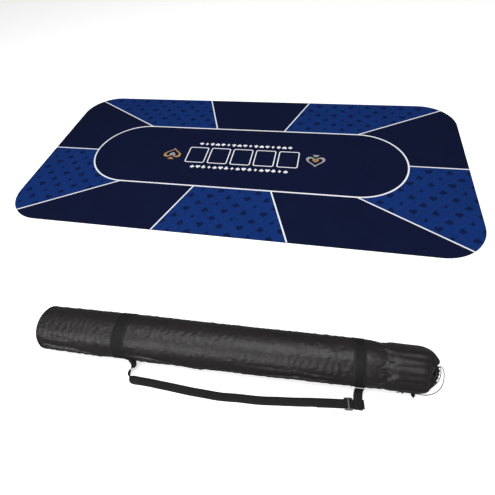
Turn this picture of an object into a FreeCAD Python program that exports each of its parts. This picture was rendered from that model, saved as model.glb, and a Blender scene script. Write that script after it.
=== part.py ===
# Roll-out card table top with its own drawstring carrying bag, as a FreeCAD 1.1 macro. Millimetres.
#
# The mat lies flat: its origin is the centre of its underside, +X along its long side, +Z up.
# The bag lies on the same surface in front of the mat, in a frame of its own: its x runs along the
# tube from the closed end to the mouth, and its z starts at the surface that it lies on.
import FreeCAD, Part
import math
import os
import Sketcher

V = FreeCAD.Vector
Place = FreeCAD.Placement
Turn = FreeCAD.Rotation
X, Y, Z = V(1, 0, 0), V(0, 1, 0), V(0, 0, 1)

doc = FreeCAD.newDocument("card_table_mat")
sheet = doc.addObject("Spreadsheet::Sheet", "sizes")

SIZES = {
    # mat
    "mat_length": 1800,
    "mat_width": 900,
    "mat_corner": 152,
    "base_thick": 2.6,
    "cloth_thick": 0.4,
    # bag
    "bag_radius": 59,
    "bag_wall": 1.0,
    "bag_axis": 60.5,
    "tube_start": 40,
    "tube_long": 933,
    "end_round": 8,
    "seam_ring_thick": 1.1,
    "seam_ring_wide": 6,
    "band_thick": 1.05,
    "left_band_wide": 38,
    "right_band_wide": 30,
    # carrying strap
    "web_wide": 22,
    "web_thick": 1.0,
    "run_curve": 1500,
    "slider_long": 20,
    "slider_wide": 29,
    "slider_high": 7.2,
    "slider_bar": 1.6,
    # mouth and drawcord
    "hem_ring": 15,
    "hem_tube": 5,
    "hem_bore": 1.6,
    "cord_thick": 2.0,
    "eyelet_flange": 4.1,
    "eyelet_hole": 2.6,
    "lock_barrel": 4.75,
    "lock_length": 16.2,
    "plunger": 3.0,
    "lock_bore": 3.3,
    "lock_travel": 3,
    "plunger_long": 12.6,
    "spring_wire": 0.7,
    "spring_coil": 2.2,
    "eyelet_thick": 1.0,
    "bartack_high": 1.4,
    "long_tail": 14,
    "short_tail": 10,
}
for row, (alias, value) in enumerate(SIZES.items(), 1):
    sheet.set(f"A{row}", alias)
    sheet.set(f"B{row}", str(value))
    sheet.setAlias(f"B{row}", alias)
doc.recompute()


def size(alias):
    return float(sheet.get(alias))


# --- frames ---------------------------------------------------------------------------------
BAG = Place(V(-406, -895.7, 0), Turn(Z, 2.34))
STRAP = BAG.multiply(Place(V(870, -87, 0), Turn(Z, 5)))

axis_z = size("bag_axis")
radius = size("bag_radius")
wall = size("bag_wall")

# The mouth leans towards the side the strap lies on, and upwards.
MOUTH_LEAN = 40
lean_axis = V(0, -1, -1)


def leaning(angle, centre):
    return Place(centre, Turn(lean_axis, angle))


mouth_out = Turn(lean_axis, MOUTH_LEAN).multVec(X)
mouth_end = V(1058, -7, 67)

# --- helpers --------------------------------------------------------------------------------
subparts = []


def body(label, placement=Place()):
    made = doc.addObject("PartDesign::Body", label)
    made.Label = label
    made.Placement = placement
    subparts.append(made)
    return made


def origin_plane(owner, role):
    return next(f for f in owner.Origin.OriginFeatures if f.Role == role)


def sketch(owner, name, role, offset=Place()):
    made = owner.newObject("Sketcher::SketchObject", name)
    made.AttachmentSupport = (origin_plane(owner, role), [""])
    made.MapMode = "FlatFace"
    made.AttachmentOffset = offset
    return made


def circle(target, across, up, radius_rule):
    """A circle whose radius follows the sheet, its centre held at (across, up)."""
    first = target.addGeometry(Part.Circle(V(across, up, 0), Z, 1.0))
    target.addConstraint(Sketcher.Constraint("DistanceX", -1, 1, first, 3, across))
    target.addConstraint(Sketcher.Constraint("DistanceY", -1, 1, first, 3, up))
    index = target.addConstraint(Sketcher.Constraint("Radius", first, 1.0))
    target.setExpression(f"Constraints[{index}]", radius_rule)
    return first


def outline(target, edges):
    for edge in edges:
        target.addGeometry(edge)


def closed_lines(points):
    return [Part.LineSegment(V(*a, 0), V(*b, 0)) for a, b in zip(points, points[1:] + points[:1])]


def pad(owner, name, profile, length_rule, reverse=False):
    made = owner.newObject("PartDesign::Pad", name)
    made.Profile = profile
    made.setExpression("Length", length_rule)
    made.Reversed = reverse
    profile.Visibility = False
    return made


def pocket(owner, name, profile, length, reverse=False):
    made = owner.newObject("PartDesign::Pocket", name)
    made.Profile = profile
    made.Length = length
    made.Reversed = reverse
    return made


def revolve(owner, name, profile, axis_name, angle=360):
    made = owner.newObject("PartDesign::Revolution", name)
    made.Profile = profile
    made.ReferenceAxis = (profile, [axis_name])
    made.Angle = angle
    return made


def round_edges(owner, name, feature, wanted, amount):
    """Fillet the feature's edges for which wanted(edge) holds."""
    doc.recompute()
    names = [f"Edge{i}" for i, edge in enumerate(feature.Shape.Edges, 1) if wanted(edge)]
    made = owner.newObject("PartDesign::Fillet", name)
    made.Base = (feature, names)
    made.Radius = amount
    return made


def corners(points, radii):
    """Tangent points, centre and turn at each inner point of a route with rounded corners."""
    found = []
    for before, here, after, bend in zip(points, points[1:], points[2:], radii):
        inwards = (here - before).normalize()
        outwards = (after - here).normalize()
        turn = inwards.getAngle(outwards)
        cut = bend * math.tan(turn / 2)
        start, end = here - inwards * cut, here + outwards * cut
        middle = (outwards - inwards).normalize()
        centre = here + middle * (bend / math.cos(turn / 2))
        found.append((start, centre, end, centre - middle * bend, inwards, outwards))
    return found


def strip_edges(points, radii, thick):
    """The outline of a strip of even thickness along a flat route of straights and arcs."""
    points = [V(*p, 0) for p in points]
    bends = corners(points, radii)

    def side(sign):
        edges, reach = [], sign * thick / 2
        at = points[0]
        way = (points[1] - points[0]).normalize()
        start = at + V(-way.y, way.x, 0) * reach
        for begin, centre, end, middle, inwards, outwards in bends:
            shift_in = V(-inwards.y, inwards.x, 0) * reach
            shift_out = V(-outwards.y, outwards.x, 0) * reach
            away = (middle - centre).normalize()
            far = centre + away * (begin + shift_in - centre).Length
            edges.append(Part.LineSegment(start, begin + shift_in))
            edges.append(Part.Arc(begin + shift_in, far, end + shift_out))
            start = end + shift_out
        way = (points[-1] - points[-2]).normalize()
        finish = points[-1] + V(-way.y, way.x, 0) * reach
        edges.append(Part.LineSegment(start, finish))
        return edges, finish

    left, left_end = side(1)
    right, right_end = side(-1)
    caps = [
        Part.LineSegment(left_end, right_end),
        Part.LineSegment(left[0].StartPoint, right[0].StartPoint),
    ]
    return left + right + caps


def strip_outline(target, points, radii):
    outline(target, strip_edges(points, radii, size("web_thick")))


def along(owner_width):
    """Half a width back along the sketch's normal, so that a pad is centred on its plane."""
    return Place(V(0, 0, -owner_width / 2), Turn())


# --- mat ------------------------------------------------------------------------------------
def mat_layer(label, low, thick_alias):
    owner = body(label)
    plan = sketch(owner, f"{label}_plan", "XY_Plane", Place(V(0, 0, low), Turn()))
    half_x, half_y, corner = size("mat_length") / 2, size("mat_width") / 2, size("mat_corner")
    inner_x, inner_y = half_x - corner, half_y - corner
    slant = corner * math.sqrt(0.5)
    for sx, sy in ((1, 1), (-1, 1), (-1, -1), (1, -1)):
        ends = [V(sx * half_x, sy * inner_y, 0), V(sx * inner_x, sy * half_y, 0)]
        middle = V(sx * (inner_x + slant), sy * (inner_y + slant), 0)
        plan.addGeometry(Part.Arc(ends[0], middle, ends[1]))
    for sign in (1, -1):
        plan.addGeometry(Part.LineSegment(V(-inner_x, sign * half_y, 0), V(inner_x, sign * half_y, 0)))
        plan.addGeometry(Part.LineSegment(V(sign * half_x, -inner_y, 0), V(sign * half_x, inner_y, 0)))
    pad(owner, f"{label}_pad", plan, f"sizes.{thick_alias}")
    return owner


mat_layer("mat_base", 0, "base_thick")
mat_layer("mat_cloth", size("base_thick"), "cloth_thick")


# --- bag: tube, ends and bands ----------------------------------------------------------------
def ring(label, start, long_rule, inner_rule, outer_rule):
    """A plain ring round the tube's axis, from start along it."""
    owner = body(label, BAG)
    face = sketch(owner, f"{label}_face", "YZ_Plane", Place(V(0, 0, start), Turn()))
    circle(face, 0, axis_z, outer_rule)
    circle(face, 0, axis_z, inner_rule)
    pad(owner, f"{label}_pad", face, long_rule)
    return owner


ring("bag_tube", size("tube_start"), "sizes.tube_long",
     "sizes.bag_radius - sizes.bag_wall", "sizes.bag_radius")
SEAM_START, LEFT_BAND, RIGHT_BAND = size("tube_start") - 2, 264, 887
OVER_CLOTH = "sizes.bag_radius + 0.05"
ring("end_seam", SEAM_START, "sizes.seam_ring_wide",
     OVER_CLOTH, "sizes.bag_radius + sizes.seam_ring_thick")
for side, centre in (("left", LEFT_BAND), ("right", RIGHT_BAND)):
    ring(f"band_{side}", centre - size(f"{side}_band_wide") / 2, f"sizes.{side}_band_wide",
         OVER_CLOTH, "sizes.bag_radius + sizes.band_thick")


def end_panel():
    """The round panel that closes the tube: flat, with its rim turned over to meet the tube."""
    turned = size("end_round")
    owner = body("bag_end_panel", BAG.multiply(Place(V(size("tube_start") - turned, 0, 0), Turn())))
    profile = sketch(owner, "end_profile", "XZ_Plane", Place(V(0, axis_z, 0), Turn()))
    slant = math.sqrt(0.5)
    flat = radius - turned

    def rim(inset):
        reach = turned - inset
        return Part.Arc(V(inset, flat, 0), V(turned - reach * slant, flat + reach * slant, 0),
                        V(turned, flat + reach, 0))

    outline(profile, [rim(0), rim(wall)])
    for a, b in (((0, 0), (0, flat)), ((wall, 0), (wall, flat)), ((0, 0), (wall, 0)),
                 ((turned, radius), (turned, radius - wall))):
        profile.addGeometry(Part.LineSegment(V(*a, 0), V(*b, 0)))
    revolve(owner, "end_turned", profile, "H_Axis")
    return owner


end_panel()


def mouth_sections(inset, push):
    """Centre, radius and lean of the circles that the tube's cloth closes through."""
    tube_end = size("tube_start") + size("tube_long")
    closing = [
        (V(tube_end, 0, axis_z), radius, 0, 0),
        (V(1012, 0, axis_z + 0.4), radius - 0.6, 3, 0),
        (V(1031, -1, axis_z + 1.2), radius - 4.0, 10, 0.3),
        (V(1045, -3, axis_z + 3.0), radius - 13.5, 21, 0.8),
        (V(1052, -5, axis_z + 4.8), radius - 27, 31, 1.0),
        (mouth_end, size("hem_ring") + 1, MOUTH_LEAN, 1.0),
    ]
    placed = []
    for centre, reach, lean, share in closing:
        out = Turn(lean_axis, lean).multVec(X)
        placed.append((centre - out * (push * share), reach - inset, lean))
    return placed


def gathered_mouth():
    owner = body("bag_mouth", BAG)

    def loft(kind, name, sections, inset):
        rings = []
        for number, (centre, reach, lean) in enumerate(sections):
            # the plane's own axes are the body's Y, Z and X, so the lean is turned into them
            to_plane = Turn(Y, Z, X, "XYZ")
            spin = to_plane.inverted().multiply(Turn(lean_axis, lean)).multiply(to_plane)
            spot = Place(V(centre.y, centre.z, centre.x), spin)
            face = sketch(owner, f"{name}_{number}", "YZ_Plane", spot)
            face.addGeometry(Part.Circle(V(0, 0, 0), Z, reach))
            index = face.addConstraint(Sketcher.Constraint("Radius", 0, reach))
            if number == 0:
                face.setExpression(f"Constraints[{index}]", f"sizes.bag_radius - {inset}")
            rings.append(face)
        doc.recompute()
        made = owner.newObject(f"PartDesign::{kind}", name)
        made.Profile = rings[0]
        made.Sections = rings[1:]
        made.Ruled = False
        return made

    loft("AdditiveLoft", "mouth_outside", mouth_sections(0, 0), 0)
    inside = mouth_sections(wall, wall * 1.3)
    beyond = mouth_end + mouth_out * 2
    inside.append((beyond, inside[-1][1], MOUTH_LEAN))
    loft("SubtractiveLoft", "mouth_inside", inside, "sizes.bag_wall")
    return owner


gathered_mouth()


def sewn_patch(label, start, inner_rule, outer_rule, first, last, wide_rule):
    """A patch of webbing that follows the tube, from one angle below its side to another."""
    owner = body(label, BAG)
    face = sketch(owner, f"{label}_face", "YZ_Plane", Place(V(0, 0, start), Turn()))
    low, high = math.radians(180 + first), math.radians(180 + last)
    reach = [radius + inner_rule, radius + outer_rule]

    def at(distance, angle):
        return V(distance * math.cos(angle), axis_z + distance * math.sin(angle), 0)

    for distance in reach:
        face.addGeometry(Part.Arc(at(distance, low), at(distance, (low + high) / 2), at(distance, high)))
    for angle in (low, high):
        face.addGeometry(Part.LineSegment(at(reach[0], angle), at(reach[1], angle)))
    pad(owner, f"{label}_pad", face, wide_rule)
    return owner


LEFT_TAB, RIGHT_TAB = 285, 882
sewn_patch("anchor_left", LEFT_TAB, 0.05, 1.05, 3, 29, "sizes.web_wide")
sewn_patch("anchor_right", RIGHT_TAB, 1.1, 2.1, 3, 29, "sizes.web_wide")
sewn_patch("bartack_left", LEFT_TAB + 2, 1.05, 1.5, 24, 27, "sizes.web_wide - 4")
sewn_patch("bartack_right", RIGHT_TAB + 2, 2.1, 2.55, 24, 27, "sizes.web_wide - 4")


# --- carrying strap ---------------------------------------------------------------------------
HANG_Y, HANG_Z = -56, 30
LOWER, UPPER = 2.4, 4.8
TAIL, TURN_END = -78, 37
RAMP_START, RAMP_END = -130, -85


def strap_run():
    """The long webbing: flat on the surface, up a ramp, round the tab and back through the slider."""
    owner = body("strap_webbing", STRAP)
    half, bend, swing = size("web_wide") / 2, size("run_curve"), math.radians(9)
    level = -190
    to_strap = STRAP.inverse().multiply(BAG)

    def on_curve(reach, angle):
        return V(level - reach * math.sin(angle), bend - reach * math.cos(angle), 0)

    def fold_point(side, bag_x):
        """Where an edge of the run's far straight meets the fold, at bag_x along the bag."""
        begin = on_curve(bend - side, swing)
        way = V(-math.cos(swing), math.sin(swing), 0)
        across = to_strap.Rotation.multVec(X)
        line = to_strap.multVec(V(bag_x, 0, 0))
        step = (line - begin).dot(across) / way.dot(across)
        return begin + way * step

    plan = sketch(owner, "run_plan", "XY_Plane")
    far_fold, near_fold = fold_point(half, LEFT_TAB), fold_point(-half, LEFT_TAB + 2 * half)
    for side, fold in ((half, far_fold), (-half, near_fold)):
        reach = bend - side
        start = V(RAMP_START - 2, side, 0)
        plan.addGeometry(Part.LineSegment(start, V(level, side, 0)))
        plan.addGeometry(Part.Arc(V(level, side, 0), on_curve(reach, swing / 2), on_curve(reach, swing)))
        plan.addGeometry(Part.LineSegment(on_curve(reach, swing), fold))
    plan.addGeometry(Part.LineSegment(far_fold, near_fold))
    plan.addGeometry(Part.LineSegment(V(RAMP_START - 2, half, 0), V(RAMP_START - 2, -half, 0)))
    pad(owner, "run_pad", plan, "sizes.web_thick")

    middle = size("web_thick") / 2
    route = [(RAMP_START - 2, middle), (RAMP_START + 8, middle), (RAMP_END, UPPER), (TURN_END + 1.2, UPPER),
             (TURN_END + 1.2, LOWER), (TAIL, LOWER)]
    profile = sketch(owner, "run_profile", "XZ_Plane", along(size("web_wide")))
    strip_outline(profile, route, [30, 30, 1.19, 1.19])
    pad(owner, "run_loop", profile, "sizes.web_wide")
    return [STRAP.multVec(point) for point in (far_fold, near_fold)]


fold_ends = strap_run()


def strap_tab(label, start, route, radii, trim=None):
    """A tab that hangs from the bag and lies along the route, in the plane across the bag."""
    owner = body(label, BAG)
    profile = sketch(owner, f"{label}_profile", "YZ_Plane", Place(V(0, 0, start), Turn()))
    strip_outline(profile, route, radii)
    pad(owner, f"{label}_pad", profile, "sizes.web_wide")
    if trim:
        cutter = sketch(owner, f"{label}_fold", "XY_Plane", Place(V(0, 0, 0), Turn()))
        outline(cutter, closed_lines(trim))
        pocket(owner, f"{label}_trim", cutter, 5, reverse=True)
    return owner


low_layer = size("web_thick") * 1.5
from_bag = BAG.inverse()
fold_far, fold_near = [from_bag.multVec(point) for point in fold_ends]
strap_tab("strap_left_tab", LEFT_TAB, [(HANG_Y, HANG_Z), (HANG_Y, low_layer), (-110, low_layer)], [6],
          trim=[(fold_far.x - 1, fold_far.y), (fold_far.x, fold_far.y), (fold_near.x, fold_near.y),
                (fold_near.x + 1, fold_near.y), (fold_near.x + 1, -112), (fold_far.x - 1, -112)])
LOOP_END = -98.2
upper_tab, lower_tab = UPPER + 1.2, LOWER + 1.2
strap_tab("strap_right_tab", RIGHT_TAB,
          [(HANG_Y, HANG_Z), (HANG_Y, upper_tab), (LOOP_END, upper_tab), (LOOP_END, lower_tab),
           (-64, lower_tab)],
          [8, 1.19, 1.19])


def stitched_block(label, frame, low_corner, extents, width_rule):
    owner = body(label, frame)
    plan = sketch(owner, f"{label}_plan", "XY_Plane", Place(V(0, 0, low_corner[2]), Turn()))
    x, y = low_corner[:2]
    far_x, far_y = x + extents[0], y + extents[1]
    outline(plan, closed_lines([(x, y), (far_x, y), (far_x, far_y), (x, far_y)]))
    pad(owner, f"{label}_pad", plan, width_rule)
    return owner


# The tab's two layers are sewn together behind the strap, and the tail's end is folded and sewn.
stitched_block("tab_bartack", BAG, (RIGHT_TAB + 2, -69, LOWER + 1.7), (18, 2.5), "sizes.bartack_high")
stitched_block("tail_hem", STRAP, (TAIL, -10.5, LOWER - 1.5), (11, 21), "sizes.web_thick")


def slider():
    """A moulded slider: two end bars under the webbing, a middle bar over it, two side rails."""
    owner = body("strap_slider", STRAP)
    half_long, half_wide = size("slider_long") / 2, size("slider_wide") / 2
    plan = sketch(owner, "slider_plan", "XY_Plane")
    outline(plan, closed_lines([(-half_long, -half_wide), (half_long, -half_wide),
                                (half_long, half_wide), (-half_long, half_wide)]))
    block = pad(owner, "slider_block", plan, "sizes.slider_high")
    slot = size("web_wide") / 2 + 0.6
    under, over = LOWER - 0.5 - 0.3, UPPER + 0.5 + 0.3
    high, bar = size("slider_high"), size("slider_bar")
    tunnel = sketch(owner, "slider_tunnel", "YZ_Plane", Place(V(0, 0, -half_long), Turn()))
    outline(tunnel, closed_lines([(-slot, under), (slot, under), (slot, over), (-slot, over)]))
    pocket(owner, "slider_webbing_way", tunnel, 2 * half_long, reverse=True)
    for number, sign in enumerate((1, -1)):
        window = sketch(owner, f"slider_top_{number}", "XY_Plane", Place(V(0, 0, over - 0.1), Turn()))
        near, far = sign * bar, sign * (half_long + 1)
        outline(window, closed_lines([(near, -slot), (far, -slot), (far, slot), (near, slot)]))
        pocket(owner, f"slider_open_top_{number}", window, high, reverse=True)
    below = sketch(owner, "slider_low", "XY_Plane", Place(V(0, 0, -0.1), Turn()))
    far = half_long - 2.8
    outline(below, closed_lines([(-far, -slot), (far, -slot), (far, slot), (-far, slot)]))
    pocket(owner, "slider_open_low", below, under + 0.3, reverse=True)
    last = owner.Group[-1]

    def upright_corner(edge):
        ends = [v.Point for v in edge.Vertexes]
        return len(ends) == 2 and abs(ends[0].z - ends[1].z) > high - 0.01

    round_edges(owner, "slider_corners", last, upright_corner, 2.0)
    return owner


slider()

# --- mouth hem, eyelet and drawcord -------------------------------------------------------------
# In the hem's frame z points out of the mouth and x points at the eyelet.
towards = V(0.605, 0.744, -0.28)
world_out = BAG.Rotation.multVec(mouth_out)
hem_spin = Turn(towards - world_out * towards.dot(world_out), world_out.cross(towards), world_out, "ZXY")
HEM = Place(BAG.multVec(mouth_end + mouth_out * size("hem_tube")), hem_spin)
FLAT = size("hem_ring") + 2.5


def mouth_hem():
    """The channel at the mouth's edge: a soft ring with a bore for the cord, flattened at the eyelet."""
    owner = body("mouth_hem", HEM)
    section = sketch(owner, "hem_section", "XZ_Plane")
    circle(section, size("hem_ring"), 0, "sizes.hem_tube")
    circle(section, size("hem_ring"), 0, "sizes.hem_bore")
    revolve(owner, "hem_turned", section, "V_Axis")
    trim = sketch(owner, "hem_flat", "YZ_Plane", Place(V(0, 0, FLAT), Turn()))
    outline(trim, closed_lines([(-12, -8), (12, -8), (12, 8), (-12, 8)]))
    pocket(owner, "hem_flattened", trim, 6, reverse=True)
    hole = sketch(owner, "hem_exit", "YZ_Plane", Place(V(0, 0, size("hem_ring")), Turn()))
    circle(hole, 0, 0, "sizes.eyelet_hole")
    pocket(owner, "hem_exit_hole", hole, 6, reverse=True)
    return owner


mouth_hem()


def eyelet():
    owner = body("cord_eyelet", HEM)
    face = sketch(owner, "eyelet_face", "YZ_Plane", Place(V(0, 0, FLAT), Turn()))
    circle(face, 0, 0, "sizes.eyelet_flange")
    circle(face, 0, 0, "sizes.eyelet_hole")
    pad(owner, "eyelet_ring", face, "sizes.eyelet_thick")
    return owner


eyelet()


def hidden_loop():
    """The stretch of cord inside the hem, open at the eyelet where its two ends come out."""
    owner = body("drawcord_loop", HEM.multiply(Place(V(), Turn(Z, 15))))
    section = sketch(owner, "loop_section", "XZ_Plane")
    circle(section, size("hem_ring"), 0, "sizes.cord_thick / 2")
    revolve(owner, "loop_turned", section, "V_Axis", 330)
    return owner


hidden_loop()

# The lock's frame: x along the cords away from the knot, z up, y away from the button.
LOCK = Place(V(621, -894.9, 0), BAG.Rotation)
CORD_Z = size("lock_barrel")
PAIR = 1.05
KNOT_FACE = -20


def lock_point(x, y, z):
    return LOCK.multVec(V(x, y, z))


def cord_route(side, points):
    """Out of the eyelet, over the listed points, then straight through the lock to the knot."""
    out = HEM.Rotation.multVec(X)
    start = HEM.multVec(V(FLAT - 1.0, -PAIR * side, 0))
    route = [start, start + out * 15]
    route += [V(*point) for point in points]
    route.append(lock_point(14, 0, CORD_Z + PAIR * side))
    route.append(lock_point(KNOT_FACE, 0, CORD_Z + PAIR * side))
    return route


def round_wire(route, thick):
    """A round wire along straight runs joined by tangent arcs as large as their runs allow."""
    runs = [(b - a).Length for a, b in zip(route, route[1:])]
    edges, at, radii = [], route[0], []
    for before, here, after, first, second in zip(route, route[1:], route[2:], runs, runs[1:]):
        turn = (here - before).getAngle(after - here)
        bend = 0.45 * min(first, second) / math.tan(turn / 2)
        begin, centre, end, middle, _, _ = corners([before, here, after], [bend])[0]
        edges += [Part.LineSegment(at, begin).toShape(), Part.Arc(begin, middle, end).toShape()]
        at = end
        radii.append(bend)
    edges.append(Part.LineSegment(at, route[-1]).toShape())
    path = Part.Wire(edges)
    ring_edge = Part.Circle(route[0], route[1] - route[0], thick / 2).toShape()
    return path.makePipeShell([Part.Wire([ring_edge])], True, False), path.Length, radii


def shaped(label, shape, placement=Place()):
    """A sub-part whose shape is made directly."""
    made = doc.addObject("Part::Feature", label)
    made.Label = label
    made.Shape = shape
    made.Placement = placement
    subparts.append(made)


def cord(label, route):
    thick = size("cord_thick")
    shape, length, radii = round_wire(route, thick)
    shaped(label, shape)
    expected = math.pi * thick ** 2 / 4 * length
    print(label, "length %.1f" % length, "radii", [round(r, 1) for r in radii],
          "volume/expected %.3f" % (shape.Volume / expected))


INNER_POINTS = [(680.5, -840, 46), (684, -850, 28), (680.5, -861, 12), (669, -872, 3.5),
                (654, -884.5, 3.2)]
OUTER_POINTS = [(686, -838, 47), (691.5, -850, 31), (691.5, -865, 14), (683, -879, 3.5), (667, -889.5, 1.5),
                (650, -895, 2.0)]
cord("drawcord_a", cord_route(1, INNER_POINTS))
cord("drawcord_b", cord_route(-1, OUTER_POINTS))


# --- cord lock: barrel, plunger, spring; and the knot that ends the cords ------------------------
def cylinder(label, frame, radius_rule, length_rule, start):
    """A PartDesign cylinder along -y of its frame, from start, its axis at the cords' height."""
    owner = body(label, frame)
    face = sketch(owner, f"{label}_face", "XZ_Plane", Place(V(0, 0, start), Turn()))
    circle(face, 0, CORD_Z, radius_rule)
    pad(owner, f"{label}_pad", face, length_rule)
    return owner


BARREL_BACK = -10.2
BORE_END = 9.0
PLUNGER_BACK = 2.65


def lock_barrel():
    owner = cylinder("lock_barrel", LOCK, "sizes.lock_barrel", "sizes.lock_length", BARREL_BACK)
    bore = sketch(owner, "barrel_bore", "XZ_Plane", Place(V(0, 0, -BORE_END), Turn()))
    circle(bore, 0, CORD_Z, "sizes.lock_bore")
    pocket(owner, "barrel_bored", bore, 20, reverse=True)
    way = sketch(owner, "barrel_way", "YZ_Plane", Place(V(0, 0, -8), Turn()))
    outline(way, closed_lines([(-1.35, CORD_Z - 2.45), (1.35, CORD_Z - 2.45), (1.35, CORD_Z + 2.45),
                               (-1.35, CORD_Z + 2.45)]))
    pocket(owner, "barrel_cord_way", way, 16, reverse=True)
    return owner


def lock_plunger():
    owner = cylinder("lock_plunger", LOCK, "sizes.plunger", "sizes.plunger_long", -PLUNGER_BACK)
    way = sketch(owner, "plunger_way", "YZ_Plane", Place(V(0, 0, -8), Turn()))
    low, high = -1.35 - size("lock_travel"), 1.35
    outline(way, closed_lines([(low, CORD_Z - 2.45), (high, CORD_Z - 2.45), (high, CORD_Z + 2.45),
                               (low, CORD_Z + 2.45)]))
    pocket(owner, "plunger_cord_way", way, 16, reverse=True)
    return owner


lock_barrel()
lock_plunger()


def lock_spring():
    """A small compression spring behind the plunger, wound as a real coil."""
    wire, coil, turns, gap, per_turn = size("spring_wire"), size("spring_coil"), 4, 0.1, 8
    rise = (BORE_END - PLUNGER_BACK - 2 * gap - wire) / (turns * per_turn)
    steps = [(math.radians(360 / per_turn * k), rise * k) for k in range(turns * per_turn + 1)]
    route = [V(coil * math.cos(angle), coil * math.sin(angle), up) for angle, up in steps]
    shape, _, _ = round_wire(route, wire)
    shaped("lock_spring", shape, LOCK.multiply(Place(V(0, BORE_END - gap - wire / 2, CORD_Z), Turn(X, 90))))


lock_spring()


def knot():
    """Both cords end in one knot, and two short tails come out of it."""
    owner = body("cord_knot", LOCK)
    profile = sketch(owner, "knot_profile", "XZ_Plane", Place(V(0, CORD_Z, 0), Turn()))
    near, far, fat = KNOT_FACE, KNOT_FACE - 9, 4.2
    points = [(near, 0), (near, 2.6), (near - 2, fat - 0.3), (near - 4.5, fat), (far + 2, fat - 0.4),
              (far, 2.4), (far, 0)]
    outline(profile, closed_lines(points))
    revolve(owner, "knot_turned", profile, "H_Axis")
    for name, side in (("long_tail", 1), ("short_tail", -1)):
        tail = sketch(owner, name, "YZ_Plane", Place(V(0, 0, far + 0.5), Turn()))
        circle(tail, 0, CORD_Z + side * PAIR, "sizes.cord_thick / 2")
        pad(owner, f"{name}_pad", tail, f"sizes.{name}", reverse=True)
    return owner


knot()

# --- check and write ----------------------------------------------------------------------------
doc.recompute()
troubled = [o.Name for o in doc.Objects if "Invalid" in o.State or "Error" in o.State]
if troubled:
    raise SystemExit(f"failed to build: {troubled}")
os.makedirs("parts", exist_ok=True)
for part in subparts:
    shape = part.Shape
    if shape.isNull() or not shape.isValid() or len(shape.Solids) != 1:
        raise SystemExit(f"{part.Label}: shape is null, invalid or not one solid")
for part in subparts:
    part.Shape.exportStep(f"parts/{part.Label}.step")
    box = part.Shape.BoundBox
    print("%-18s volume %10.1f  x %.1f..%.1f  y %.1f..%.1f  z %.2f..%.2f" % (
        part.Label, part.Shape.Volume, box.XMin, box.XMax, box.YMin, box.YMax, box.ZMin, box.ZMax))
print(len(subparts), "sub-parts; eyelet at", HEM.multVec(V(FLAT + 1, 0, 0)), "lock at", LOCK.Base)
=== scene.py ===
# The roll-out card table top and its carrying bag: looks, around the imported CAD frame. Metres.
from math import asin, cos, degrees, exp, pi, radians, remainder, sin, tan

import bmesh
import bpy
import numpy as np
from mathutils import Euler, Matrix, Vector, noise
from mathutils.bvhtree import BVHTree
from mathutils.geometry import delaunay_2d_cdt


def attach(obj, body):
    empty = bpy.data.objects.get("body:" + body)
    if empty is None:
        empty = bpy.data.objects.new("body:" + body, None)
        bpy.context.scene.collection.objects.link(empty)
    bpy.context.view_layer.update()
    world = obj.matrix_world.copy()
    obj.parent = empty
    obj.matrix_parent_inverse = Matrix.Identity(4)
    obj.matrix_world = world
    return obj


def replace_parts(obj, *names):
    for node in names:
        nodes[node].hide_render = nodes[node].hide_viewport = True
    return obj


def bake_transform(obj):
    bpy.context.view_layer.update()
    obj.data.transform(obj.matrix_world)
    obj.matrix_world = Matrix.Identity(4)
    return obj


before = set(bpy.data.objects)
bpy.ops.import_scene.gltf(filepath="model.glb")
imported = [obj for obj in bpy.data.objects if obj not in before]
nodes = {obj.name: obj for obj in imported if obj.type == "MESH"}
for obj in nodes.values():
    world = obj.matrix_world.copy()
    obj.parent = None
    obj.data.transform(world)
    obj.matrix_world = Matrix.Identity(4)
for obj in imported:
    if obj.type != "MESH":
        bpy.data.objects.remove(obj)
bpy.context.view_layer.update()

MM = 0.001


# --- frames: they take millimetres in a part's own frame to metres in the row frame ---
def frame_at(point, turn_z):
    return Matrix.Scale(MM, 4) @ Matrix.Translation(point) @ Matrix.Rotation(radians(turn_z), 4, "Z")


BAG_TURN = 2.34
BAG = frame_at((-406, -895.7, 0), BAG_TURN)
STRAP = BAG @ Matrix.Translation((870, -87, 0)) @ Matrix.Rotation(radians(5), 4, "Z")
LOCK = frame_at((621, -894.9, 0), BAG_TURN)

BAG_RADIUS, BAG_AXIS = 59.0, 60.5
LEAN_AXIS = Vector((0, -1, -1)).normalized()
MOUTH_LEAN = 40
MOUTH_END = Vector((1058, -7, 67))


def leaning(lean):
    return Matrix.Rotation(radians(lean), 3, LEAN_AXIS)


MOUTH_OUT = leaning(MOUTH_LEAN) @ Vector((1, 0, 0))
HEM_RING, HEM_TUBE = 15.0, 5.0
EYELET_REACH = HEM_RING + 2.5
CORD = 2.0
PAIR = 1.05
CORD_HIGH = 4.75


def hem_frame():
    out = (BAG.to_3x3() @ MOUTH_OUT).normalized()
    towards = Vector((0.605, 0.744, -0.28))
    across = (towards - out * towards.dot(out)).normalized()
    turned = Matrix((across, out.cross(across), out)).transposed().to_4x4()
    return Matrix.Translation(BAG @ (MOUTH_END + MOUTH_OUT * HEM_TUBE)) @ turned @ Matrix.Scale(MM, 4)


HEM = hem_frame()


# --- helpers ---
def in_scene(name, data):
    made = bpy.data.objects.new(name, data)
    bpy.context.scene.collection.objects.link(made)
    return made


def made_object(name, mesh, body, stands_for=(), material=None):
    """A piece that rides on a body; a piece between two bodies is left without one here."""
    if material:
        mesh.materials.append(material)
    made = in_scene(name, mesh)
    if body:
        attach(made, body)
    if stands_for:
        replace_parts(made, *stands_for)
    return made


def mesh_of(name, points, faces):
    mesh = bpy.data.meshes.new(name)
    mesh.from_pydata([tuple(p) for p in points], [], faces)
    mesh.polygons.foreach_set("use_smooth", [True] * len(mesh.polygons))
    mesh.update()
    return mesh


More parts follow.
